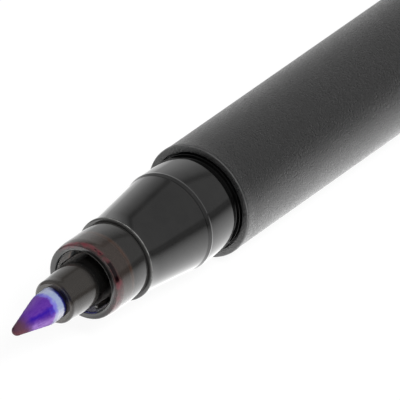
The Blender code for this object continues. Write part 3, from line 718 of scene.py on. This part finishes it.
def matt_plastic(name, base, grain_size, grain_depth, roughness, highlit_edge=None):
    """Matt plastic with a moulded grain, lighter on its high spots, and an end painted lighter near its edge,
    with a painted highlight along that rubbed edge.
    """
    finish = Finish(name)
    grain = finish.noise(grain_size, roughness=0.65)
    patch = finish.noise(0.003, stretch=1.6)
    coats = [(lighter(base, 2.9), finish.rise(grain, 0.4, 0.68, start=0.17, end=0.33))]
    if highlit_edge:
        place, edge = highlit_edge
        chipped = finish.rise(finish.noise(0.0006, detail=4.0), 0.3, 0.6, start=0.4)
        # Painted light: the end lighter near its outer edge, and a painted highlight along that rubbed edge.
        coats += [
            (lighter(base, 4.0), (finish.along, place + 0.00012, place + 0.00004),
             (finish.radius, edge - 0.0006, edge)),
            (lighter(base, 10.0), (finish.along, place + 0.00001, place + 0.00009, 0.00002),
             (finish.radius, edge - 0.00003, edge - 0.00001), chipped),
        ]
    tint = finish.paint(base, *coats)
    rough = finish.math(
        'ADD', finish.rise(grain, 0.3, 0.7, start=roughness - 0.08, end=roughness + 0.08),
        finish.rise(patch, 0.3, 0.7, start=-0.02, end=0.02))
    return finish.set(Base_Color=tint, Roughness=rough, IOR=1.68, Normal=finish.bump(grain, grain_depth))


def natural_plastic(colours):
    """Unpigmented plastic, slightly cloudy, with ink mist inside."""
    finish = Finish("natural plastic")
    cloud = finish.noise(0.0016, detail=4.0)
    tint = finish.paint(colours.natural, (colours.fibre_lilac, (cloud, 0.45, 0.75), 0.3))
    rough = finish.rise(cloud, 0.3, 0.7, start=0.35, end=0.5)
    relief = finish.bump(finish.noise(0.0002), depth=0.000004)
    return finish.set(Base_Color=tint, Roughness=rough, Normal=relief)


def inked_fibre(colours):
    """Ink-soaked fibre bundle with its strands along the pen."""
    finish = Finish("inked fibre")
    strand = finish.noise(0.0001, detail=4.0, stretch=40.0)
    tint = finish.paint(colours.core, (colours.fibre_lilac, (strand, 0.3, 0.7)))
    return finish.set(Base_Color=tint, Roughness=0.85, Normal=finish.bump(strand, depth=0.00003))


def clear_film(colours):
    """Thin clear film with faint wrinkles, stained from inside."""
    finish = Finish("clear film")
    wrinkle = finish.noise(0.0008, stretch=6.0)
    tint = finish.paint(colours.film, (colours.fibre_lilac, (wrinkle, 0.4, 0.7), 0.5))
    rough = finish.rise(wrinkle, 0.3, 0.7, start=0.15, end=0.35)
    return finish.set(Base_Color=tint, Roughness=rough, Alpha=0.5, Normal=finish.bump(wrinkle, depth=0.00002))


def mirrored_floor(finish, stage):
    """How bright the floor's zones are in reflections: before and behind the pen, and beyond its nib."""
    side = finish.axes["Y"]
    near = finish.math('DIVIDE', finish.math('MINIMUM', side, 0.0), stage.floor_fade)
    near_or_back = finish.rise(side, -0.004, 0.004, start=stage.floor_near, end=stage.floor_back)
    beyond_seat = (finish.along, -0.147, -0.152)
    behind_pen = (side, 0.0, 0.003)
    ahead = finish.where(beyond_seat, behind_pen)
    brightened = finish.rise(ahead, 0.0, 1.0, start=1.0, end=stage.floor_ahead)
    far_ahead = finish.rise(finish.along, -0.172, -0.166, start=0.25)
    return finish.where(finish.math('EXPONENT', near), near_or_back, brightened, far_ahead)


def white_floor(stage):
    """White floor, which glows for the camera, lights the pen and shows zones in reflections."""
    finish = Finish("floor white")
    path = finish.add("ShaderNodeLightPath").outputs
    camera = path["Is Camera Ray"]
    white = finish.paint(
        BLACK, (grey(stage.floor_bounce), path["Is Diffuse Ray"]), (grey(stage.floor_white), camera))
    mirrored = finish.math('MAXIMUM', path["Is Glossy Ray"], path["Is Transmission Ray"])
    zones = finish.where(mirrored, mirrored_floor(finish, stage))
    strength = finish.math('ADD', zones, finish.where(camera, stage.floor_glow))
    lit = finish.add("ShaderNodeBsdfDiffuse", {"Color": white})
    glow = finish.add("ShaderNodeEmission", {"Strength": strength})
    return finish.show(finish.add("ShaderNodeAddShader", {0: lit.outputs[0], 1: glow.outputs[0]}))


# Light of the tent, as (height, grey) stops: beside the pen, and before its nib
TENT_BESIDE = (
    (0.0, 0.80), (0.10, 0.90), (0.20, 0.80), (0.37, 0.37),
    (0.43, 0.07), (0.46, 0.06), (0.50, 0.26), (1.0, 0.26),
)
TENT_BEFORE = ((0.0, 0.75), (0.22, 0.65), (0.42, 0.20), (1.0, 0.20))
TENT_SLANT = 0.56               # how far the stops beside the pen climb with each metre towards its tail
TENT_LEVEL = 0.448              # place along the pen where they stand at their own heights


def tent_light():
    """Light of the tent, by height as a share of its half turn."""
    finish = Finish("tent light")
    height = finish.math('DIVIDE', finish.math('ARCTAN2', finish.axes["Z"], finish.axes["Y"]), math.pi)
    slant = finish.math('MULTIPLY', finish.math('SUBTRACT', TENT_LEVEL, finish.along), TENT_SLANT)
    shade = finish.paint(
        finish.ramp(height, TENT_BEFORE),
        (finish.ramp(finish.math('ADD', height, slant), TENT_BESIDE), (finish.along, 0.0, 0.15)),
        (BLACK, (height, 0.925, 0.965), 0.92),
        (grey(0.7), (finish.along, 0.8, 1.1)))
    return finish.show(finish.add("ShaderNodeEmission", {"Color": shade}))


# Making the pieces

def point_flat(sizes):
    """Radius of the flat that the nib's round point is drawn over."""
    return sizes.point_radius / math.tan((math.pi / 2 + sizes.cone_angle) / 2)


def cone_run(sizes, radius):
    """Length of the nib from its point to the foot of its cone."""
    return (radius - point_flat(sizes)) / math.tan(sizes.cone_angle)


class MARKER_OT_nib(bpy.types.Operator):
    """Build the fibre nib, which leans a little to one side"""

    bl_idname = "marker.nib"
    bl_label = "Nib"

    point_share = 0.999             # share of the point's flat that its rounding takes up
    fibre_pitch = 0.00005           # greatest distance between the rings of the shown end
    fibre_size = 0.00009            # width of the fibres
    fibre_stretch = 4.0             # length of the fibres, in widths

    def execute(self, context):
        sizes = context.scene.marker_sizes
        point, end, radius = span("nib")
        foot = point + cone_run(sizes, radius)
        tip = point_flat(sizes)
        root = span("nib_holder").start
        bm = bmesh.new()
        draw_outline(bm, (
            (point, 0.0, 0.0),
            (point, tip, self.point_share * tip),
            (foot, radius, SOFT),
            (root + sizes.tube_mouth_depth, radius, 0.0),
            (end - sizes.nib_chamfer, radius, 0.0),
            (end, radius - sizes.nib_chamfer, 0.0),
            (end, 0.0, 0.0),
        ))
        shown = [edge for edge in bm.edges if self.shows(edge, root)]
        for edge in shown:
            bmesh.ops.subdivide_edges(bm, edges=[edge], cuts=int(edge.calc_length() / self.fibre_pitch))
        spin_outline(bm)
        bm.normal_update()
        self.sink_lines(bm, sizes, root)
        self.lean(bm, sizes, point, root)
        nib = add_piece("fibre_nib", bm)
        finish = stained_fibre(sizes, context.scene.marker_colours)
        dress(nib, "pen", "nib", finish)
        return {'FINISHED'}

    def shows(self, edge, root):
        """True where an edge of the outline lies in front of the holder, off the axis."""
        return min(vert.co.x for vert in edge.verts) < root and max(vert.co.z for vert in edge.verts) > MERGE

    def sink_lines(self, bm, sizes, root):
        """Sink the lines between the pressed fibres."""
        for vert in bm.verts:
            if vert.co.x < root:
                spot = Vector((vert.co.x / self.fibre_stretch, vert.co.y, vert.co.z)) / self.fibre_size
                vert.co += vert.normal * (noise.noise(spot) - 1.0) * sizes.fibre_depth

    def lean(self, bm, sizes, point, root):
        """Push the shown end to the low side, more and more towards the point."""
        for vert in bm.verts:
            share = max(0.0, (root - vert.co.x) / (root - point))
            vert.co += LOW_SIDE * sizes.point_lean * share


class MARKER_OT_nib_holder(bpy.types.Operator):
    """Build the smoked holder: tube, round-lipped cup, fins, grips and plug"""

    bl_idname = "marker.nib_holder"
    bl_label = "Nib holder"

    def execute(self, context):
        sizes = context.scene.marker_sizes
        front, end, lip_radius = span("nib_holder")
        bore = span("nib").radius + sizes.tube_gap
        mouth = front + sizes.tube_reach
        floor = mouth + sizes.cup_depth
        back = mouth + sizes.cup_length
        hollow = back + sizes.plug_front
        root = sizes.tube_front + (sizes.tube_reach - sizes.tube_straight) * math.tan(sizes.tube_taper)
        cup_bore = sizes.cup_radius - sizes.cup_wall
        lip_radius -= sizes.lip_trim
        lip_end = mouth + sizes.lip_width
        inner = sizes.plug_radius - sizes.plug_wall
        holder = turn("smoked_holder", (
            (front + sizes.tube_mouth_depth, bore, 0.0),
            (front, span("nib").radius + sizes.tube_mouth_gap, 0.0),
            (front, sizes.tube_front, sizes.tube_round),
            (front + sizes.tube_straight, sizes.tube_front, SOFT),
            (mouth, root, 0.0),
            (floor, root, FILLET / 2),
            (floor, cup_bore, FILLET / 2),
            (mouth, cup_bore, sizes.lip_edge),
            (mouth, lip_radius - sizes.lip_taper, sizes.lip_round),
            (lip_end, lip_radius, FILLET),
            (lip_end + sizes.lip_run, sizes.cup_radius, FILLET),
            (back, sizes.cup_radius, 4 * CRISP),
            (back, sizes.plug_radius, 0.0),
            (end, sizes.plug_radius, SOFT),
            (end, inner, 0.0),
            (hollow, inner, 0.0),
            (hollow, bore, 0.0),
        ))
        combine(holder, radial_ribs(
            sizes.fin_count, sizes.fin_thickness,
            inner=cup_bore - sizes.fin_height, outer=cup_bore + sizes.rib_root,
            start=mouth + sizes.fin_setback, end=floor + sizes.rib_root, first_turn=sizes.fin_turn), 'UNION')
        combine(holder, radial_ribs(
            sizes.grip_count, sizes.grip_width,
            inner=span("nib").radius + sizes.grip_gap, outer=bore + sizes.rib_root,
            start=front + sizes.grip_setback, end=hollow), 'UNION')
        finish = smoked_plastic(sizes, context.scene.marker_colours)
        dress(holder, "pen", "nib_holder", finish)
        return {'FINISHED'}


class MARKER_OT_front_section(bpy.types.Operator):
    """Build the gloss cap seat: nose rim, cone, bead, shoulder and insert"""

    bl_idname = "marker.front_section"
    bl_label = "Front section"

    cone_end = 0.0002               # last bit of the cone, which takes up the bend in its shading
    crease_width = 0.00008          # width of the painted shade at the foot of the bead
    crease_shade = 0.8              # share of painted shade there
    groove_shade = 1.0              # share of painted shade in the groove before the barrel

    def execute(self, context):
        sizes = context.scene.marker_sizes
        nose, end, bead_radius = span("front_section")
        seat = bead_radius - sizes.bead_height
        foot = nose + sizes.cone_length
        slope = (seat - sizes.cone_step - sizes.cone_front) / (sizes.cone_length - sizes.collar_length)
        ridge = foot + sizes.bead_rise
        shoulder = nose + sizes.seat_length
        neck = seat - sizes.neck_depth
        flange = span("barrel").start - sizes.flange_proud
        flange_end = flange + sizes.flange_thickness
        section = turn("cap_seat", (
            (nose, sizes.section_bore, FINE),
            (nose, sizes.rim_radius, sizes.rim_round),
            (nose + sizes.rim_width, sizes.rim_radius, 2 * CRISP),
            (nose + sizes.rim_width, sizes.collar_radius, 3 * CRISP),
            (nose + sizes.collar_length, sizes.cone_front, 0.0),
            (foot - self.cone_end, seat - sizes.cone_step - self.cone_end * slope, 0.0),
            (foot, seat - sizes.cone_step, 2 * CRISP),
            (ridge, bead_radius, sizes.bead_round),
            (ridge + sizes.bead_fall, seat, sizes.bead_round),
            (shoulder, seat, sizes.seat_round),
            (shoulder, neck, FINE),
            (flange, neck, FINE),
            (flange, sizes.flange_radius, CRISP),
            (flange_end, sizes.flange_radius, CRISP),
            (flange_end, sizes.insert_radius, 0.0),
            (end - sizes.insert_chamfer, sizes.insert_radius, BROKEN),
            (end, sizes.insert_radius - sizes.insert_chamfer, BROKEN),
            (end, sizes.section_bore, 0.0),
        ))
        finish = gloss_plastic(
            "gloss black", context.scene.marker_colours, scuff_stretch=0.25,
            grooves=(
                (shoulder, flange_end, self.groove_shade),
                (foot, foot + self.crease_width, self.crease_shade),
            ),
            highlit_edge=(nose + sizes.rim_width / 3, sizes.rim_radius))
        dress(section, "pen", "front_section", finish)
        return {'FINISHED'}


class MARKER_OT_barrel(bpy.types.Operator):
    """Build the matt barrel, with its lip, counterbore and air ribs"""

    bl_idname = "marker.barrel"
    bl_label = "Barrel"

    wave_size = 0.0007              # length of the waves in the moulded edge

    def execute(self, context):
        sizes = context.scene.marker_sizes
        front, end, lip_radius = span("barrel")
        lip_end = front + sizes.barrel_lip
        step = front + sizes.counterbore_depth
        barrel = turn("grained_barrel", (
            (front, sizes.counterbore, FINE),
            (front, lip_radius - sizes.barrel_lip_slope, sizes.barrel_lip_round),
            (front + sizes.barrel_lip_slope, lip_radius - sizes.barrel_lip_trim, 3 * CRISP),
            (lip_end, lip_radius - sizes.barrel_lip_trim, BROKEN),
            (lip_end + sizes.barrel_lip_run, sizes.barrel_radius, FILLET),
            (end, sizes.barrel_radius, sizes.barrel_round),
            (end, sizes.barrel_bore, BROKEN),
            (step, sizes.barrel_bore, 0.0),
            (step, sizes.counterbore, 0.0),
        ))
        self.wave_edge(barrel.data, sizes, front, lip_end)
        combine(barrel, radial_ribs(
            sizes.air_rib_count, sizes.air_rib_width,
            inner=sizes.air_rib_inner, outer=sizes.barrel_bore + sizes.rib_root,
            start=front + sizes.air_rib_margin, end=end - sizes.air_rib_margin), 'UNION')
        finish = matt_plastic(
            "matt black", context.scene.marker_colours.matt_black,
            grain_size=0.00018, grain_depth=0.00008, roughness=0.34,
            highlit_edge=(front, lip_radius - sizes.barrel_lip_slope))
        dress(barrel, "pen", "barrel", finish)
        return {'FINISHED'}

    def wave_edge(self, mesh, sizes, front, lip_end):
        """Make the moulded front edge slightly uneven."""
        for vert in mesh.vertices:
            if vert.co.x < lip_end - MERGE:
                share = (lip_end - vert.co.x) / (lip_end - front)
                vert.co.x += share * sizes.barrel_edge_wave * noise.noise(vert.co / self.wave_size)


class MARKER_OT_ink_core(bpy.types.Operator):
    """Finish the ink reservoir and its film sleeve, hidden in the barrel"""

    bl_idname = "marker.ink_core"
    bl_label = "Ink core"

    def execute(self, context):
        colours = context.scene.marker_colours
        finishes = {"ink_reservoir": inked_fibre(colours), "reservoir_film": clear_film(colours)}
        for node, finish in finishes.items():
            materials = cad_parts[node].data.materials
            materials.clear()
            materials.append(finish)
        return {'FINISHED'}


class MARKER_OT_tail_plug(bpy.types.Operator):
    """Build the plug that closes the barrel and carries the cap's post"""

    bl_idname = "marker.tail_plug"
    bl_label = "Tail plug"

    def execute(self, context):
        sizes = context.scene.marker_sizes
        start, end, flange_radius = span("tail_plug")
        flange = start + sizes.tail_insert
        flange_end = flange + sizes.tail_flange
        hollow = sizes.insert_radius - sizes.tail_wall
        plug = turn("tail_post", (
            (start, hollow, 0.0),
            (start, sizes.insert_radius - sizes.insert_chamfer, BROKEN),
            (start + sizes.insert_chamfer, sizes.insert_radius, BROKEN),
            (flange, sizes.insert_radius, 0.0),
            (flange, flange_radius, sizes.tail_round),
            (flange_end, flange_radius, sizes.tail_round),
            (flange_end, sizes.post_radius, BROKEN),
            (end, sizes.post_radius, sizes.post_round),
            (end, 0.0, 0.0),
            (end - sizes.post_end, 0.0, 0.0),
            (end - sizes.post_end, hollow, FILLET),
        ))
        finish = gloss_plastic("tail black", context.scene.marker_colours, scuff_stretch=4.0)
        dress(plug, "pen", "tail_plug", finish)
        return {'FINISHED'}


class MARKER_OT_cap_shell(bpy.types.Operator):
    """Build the cap's tube with its moulded clip"""

    bl_idname = "marker.cap_shell"
    bl_label = "Cap shell"

    tip_share = 0.98                # share of the clip's tip that its roundings take up

    def execute(self, context):
        sizes = context.scene.marker_sizes
        mouth, end, radius = span("cap_shell")
        shell = turn("clip_cap", (
            (mouth, 0.0, 0.0),
            (mouth, radius, sizes.cap_mouth_round),
            (end, radius, BROKEN),
            (end, 0.0, 0.0),
        ))
        combine(shell, self.clip(sizes, end, radius), 'UNION')
        combine(shell, self.bore(sizes, mouth, end, radius), 'DIFFERENCE')
        finish = matt_plastic(
            "cap black", context.scene.marker_colours.cap_black,
            grain_size=0.00016, grain_depth=0.000008, roughness=0.36)
        dress(shell, "cap", "cap_shell", finish)
        return {'FINISHED'}

    def bore(self, sizes, mouth, end, radius):
        """The shape that hollows the cap, with its snap ridge left standing."""
        wall = radius - sizes.cap_bore
        snap = mouth + sizes.snap_place
        flare = sizes.cap_bore + sizes.cap_mouth_round + wall
        return turn("bore", (
            (mouth - wall, 0.0, 0.0),
            (mouth - wall, flare, 0.0),
            (mouth + sizes.cap_mouth_round, sizes.cap_bore, 0.0),
            (snap, sizes.cap_bore, BROKEN),
            (snap + sizes.snap_width / 2, sizes.cap_bore - sizes.snap_height, BROKEN),
            (snap + sizes.snap_width, sizes.cap_bore, BROKEN),
            (end + wall, sizes.cap_bore, 0.0),
            (end + wall, 0.0, 0.0),
        ))

    def lean(self, sizes, face):
        """Angle of the clip below the horizontal at which its lower edge touches the floor."""
        reach = face - sizes.clip_corner
        side = sizes.clip_width / 2 - sizes.clip_corner
        table = -CAD_BOX[0].z - sizes.clip_corner
        return math.asin(table / math.hypot(reach, side)) - math.atan2(side, reach)

    def clip(self, sizes, end, radius):
        """The clip's side outline, given its width, its round edges and its lean."""
        back = end - sizes.clip_setback
        front = back - sizes.clip_length
        under = radius + sizes.clip_gap
        face = under + sizes.clip_thickness
        foot = sizes.cap_bore / 2
        tip = self.tip_share * sizes.clip_tip / 2
        bm = bmesh.new()
        draw_outline(bm, (
            (back, foot, 0.0),
            (back, face, sizes.clip_bend),
            (front, face, tip),
            (front, face - sizes.clip_tip, tip),
            (front + sizes.clip_pad / 2, radius + sizes.clip_pad_gap, sizes.clip_bend / 2),
            (front + sizes.clip_pad, under, sizes.clip_bend / 2),
            (back - sizes.clip_root, under, sizes.clip_bend),
            (back - sizes.clip_root, foot, 0.0),
        ))
        side = bmesh.ops.contextual_create(bm, geom=bm.edges[:])["faces"]
        grown = bmesh.ops.extrude_face_region(bm, geom=side)["geom"]
        moved = [part for part in grown if isinstance(part, bmesh.types.BMVert)]
        bmesh.ops.translate(bm, verts=moved, vec=(0.0, sizes.clip_width, 0.0))
        bmesh.ops.translate(bm, verts=bm.verts, vec=(0.0, -sizes.clip_width / 2, 0.0))
        bmesh.ops.recalc_face_normals(bm, faces=bm.faces)
        rims = [edge for edge in bm.edges if abs(edge.verts[0].co.y - edge.verts[1].co.y) < MERGE]
        bmesh.ops.bevel(
            bm, geom=rims, offset=sizes.clip_corner, offset_type='OFFSET', segments=CORNER_STEPS,
            profile=0.5, affect='EDGES', material=-1)
        tilt = Matrix.Rotation(-math.pi / 2 - self.lean(sizes, face), 4, 'X')
        bmesh.ops.transform(bm, matrix=tilt, verts=bm.verts)
        return add_piece("clip", bm)


class MARKER_OT_cap_liner(bpy.types.Operator):
    """Build the inner cup that seals round the nib holder"""

    bl_idname = "marker.cap_liner"
    bl_label = "Cap liner"

    def execute(self, context):
        sizes = context.scene.marker_sizes
        start, end, radius = span("cap_liner")
        bore = radius - sizes.liner_wall
        liner = turn("seal_liner", (
            (start, bore, sizes.liner_round),
            (start, radius, sizes.liner_round),
            (end, radius, BROKEN),
            (end, 0.0, 0.0),
            (end - sizes.liner_floor, 0.0, 0.0),
            (end - sizes.liner_floor, bore, FILLET),
        ))
        dress(liner, "cap", "cap_liner", natural_plastic(context.scene.marker_colours))
        return {'FINISHED'}


class MARKER_OT_cap_crown(bpy.types.Operator):
    """Build the plug with a rounded head that closes the cap"""

    bl_idname = "marker.cap_crown"
    bl_label = "Cap crown"

    def execute(self, context):
        sizes = context.scene.marker_sizes
        start, end, radius = span("cap_crown")
        stem = span("cap_liner").radius
        hollow = stem - sizes.crown_wall
        head = start + sizes.crown_stem
        crown = turn("crown_plug", (
            (start, hollow, 0.0),
            (start, stem - sizes.insert_chamfer, BROKEN),
            (start + sizes.insert_chamfer, stem, BROKEN),
            (head, stem, 0.0),
            (head, radius, BROKEN),
            (end, radius, sizes.crown_round),
            (end, 0.0, 0.0),
            (end - sizes.crown_floor, 0.0, 0.0),
            (end - sizes.crown_floor, hollow, FILLET),
        ))
        finish = matt_plastic(
            "crown black", context.scene.marker_colours.cap_black,
            grain_size=0.00016, grain_depth=0.000006, roughness=0.32)
        dress(crown, "cap", "cap_crown", finish)
        return {'FINISHED'}


class MARKER_OT_stage(bpy.types.Operator):
    """Build the white floor, the light and the camera"""

    bl_idname = "marker.stage"
    bl_label = "Stage"

    def execute(self, context):
        stage = context.scene.marker_stage
        floor = self.floor(stage)
        tent = self.tent(stage)
        self.world(context.scene, stage)
        self.key_lamp(stage)
        self.camera(context.scene, stage)
        context.scene.view_settings.view_transform = 'Standard'
        return {'FINISHED'}

    def floor(self, stage):
        """White floor that keeps a faint shadow."""
        bm = bmesh.new()
        bmesh.ops.create_grid(bm, x_segments=1, y_segments=1, size=stage.floor_size / 2)
        bmesh.ops.translate(bm, verts=bm.verts, vec=(0.0, 0.0, CAD_BOX[0].z))
        floor = add_piece("floor", bm)
        floor.data.materials.append(white_floor(stage))
        return floor

    def tent(self, stage):
        """Half tube of soft light along the pen, seen only in reflections."""
        bm = bmesh.new()
        ends = [bm.verts.new((side * stage.tent_length / 2, stage.tent_radius, 0.0)) for side in (-1, 1)]
        edge = bm.edges.new(ends)
        bmesh.ops.spin(
            bm, geom=[edge, *ends], cent=(0, 0, 0), axis=(1, 0, 0), angle=math.pi, steps=ROUND_STEPS // 2)
        tent = add_piece("light_tent", bm)
        tent.data.materials.append(tent_light())
        tent.visible_camera = False
        tent.visible_diffuse = False
        tent.visible_shadow = False
        tent.visible_transmission = False
        return tent

    def world(self, scene, stage):
        """White all round, softer where it only lights the pen."""
        scene.world = bpy.data.worlds.new("white room")
        scene.world.use_nodes = True
        tree = scene.world.node_tree
        path = tree.nodes.new("ShaderNodeLightPath")
        soft = tree.nodes.new("ShaderNodeMapRange")
        tree.links.new(path.outputs["Is Diffuse Ray"], soft.inputs["Value"])
        soft.inputs["To Min"].default_value = 1.0
        soft.inputs["To Max"].default_value = stage.sky
        background = tree.nodes["Background"]
        background.inputs["Color"].default_value = (1.0, 1.0, 1.0, 1.0)
        tree.links.new(soft.outputs[0], background.inputs["Strength"])

    def key_lamp(self, stage):
        """Soft lamp in front of the pen and above it, left out of reflections."""
        lamp = bpy.data.lights.new("key", 'AREA')
        lamp.shape = 'DISK'
        lamp.size = stage.key_size
        lamp.energy = stage.key_power
        key = bpy.data.objects.new("key", lamp)
        key.location = barrel_front() + Vector(stage.key_place)
        key.rotation_euler = (barrel_front() - key.location).to_track_quat('-Z', 'Y').to_euler()
        key.visible_camera = False
        key.visible_glossy = False
        bpy.context.scene.collection.objects.link(key)

    def camera(self, scene, stage):
        """Long lens, aimed beside the barrel's front."""
        lens = bpy.data.cameras.new("camera")
        lens.sensor_width = 36.0
        lens.lens = lens.sensor_width * stage.distance / stage.picture
        lens.clip_end = 20.0
        camera = bpy.data.objects.new("camera", lens)
        level_reach = math.cos(stage.elevation)
        away = Vector((
            level_reach * math.sin(stage.azimuth),
            -level_reach * math.cos(stage.azimuth),
            math.sin(stage.elevation)))
        right = Vector((math.cos(stage.azimuth), math.sin(stage.azimuth), 0.0))
        up = away.cross(right)
        target = barrel_front() + right * stage.aim_right + up * stage.aim_up
        camera.location = target + away * stage.distance
        camera.rotation_euler = away.to_track_quat('Z', 'Y').to_euler()
        scene.collection.objects.link(camera)
        scene.camera = camera


PIECES = (
    MARKER_OT_nib,
    MARKER_OT_nib_holder,
    MARKER_OT_front_section,
    MARKER_OT_barrel,
    MARKER_OT_ink_core,
    MARKER_OT_tail_plug,
    MARKER_OT_cap_shell,
    MARKER_OT_cap_liner,
    MARKER_OT_cap_crown,
    MARKER_OT_stage,
)


class MARKER_PT_sidebar(bpy.types.Panel):
    """Lists the marker's pieces and settings"""

    bl_idname = "MARKER_PT_sidebar"
    bl_label = "Resist marker"
    bl_space_type = 'VIEW_3D'
    bl_region_type = 'UI'
    bl_category = "Marker"

    def draw(self, context):
        for piece in PIECES:
            self.layout.operator(piece.bl_idname)
        for group in (context.scene.marker_sizes, context.scene.marker_colours, context.scene.marker_stage):
            box = self.layout.box()
            for name in group.__annotations__:
                box.prop(group, name)


CLASSES = (MarkerSizes, MarkerColours, MarkerStage, *PIECES, MARKER_PT_sidebar)


def register():
    """Make the classes and the scene's settings known."""
    for each in CLASSES:
        bpy.utils.register_class(each)
    bpy.types.Scene.marker_sizes = bpy.props.PointerProperty(type=MarkerSizes)
    bpy.types.Scene.marker_colours = bpy.props.PointerProperty(type=MarkerColours)
    bpy.types.Scene.marker_stage = bpy.props.PointerProperty(type=MarkerStage)


def unregister():
    """Take the scene's settings and the classes away again."""
    del bpy.types.Scene.marker_stage
    del bpy.types.Scene.marker_colours
    del bpy.types.Scene.marker_sizes
    for each in reversed(CLASSES):
        bpy.utils.unregister_class(each)


def main():
    """Build every piece and the stage."""
    register()
    bpy.ops.marker.nib()
    bpy.ops.marker.nib_holder()
    bpy.ops.marker.front_section()
    bpy.ops.marker.barrel()
    bpy.ops.marker.ink_core()
    bpy.ops.marker.tail_plug()
    bpy.ops.marker.cap_shell()
    bpy.ops.marker.cap_liner()
    bpy.ops.marker.cap_crown()
    bpy.ops.marker.stage()


if __name__ == "__main__":
    main()
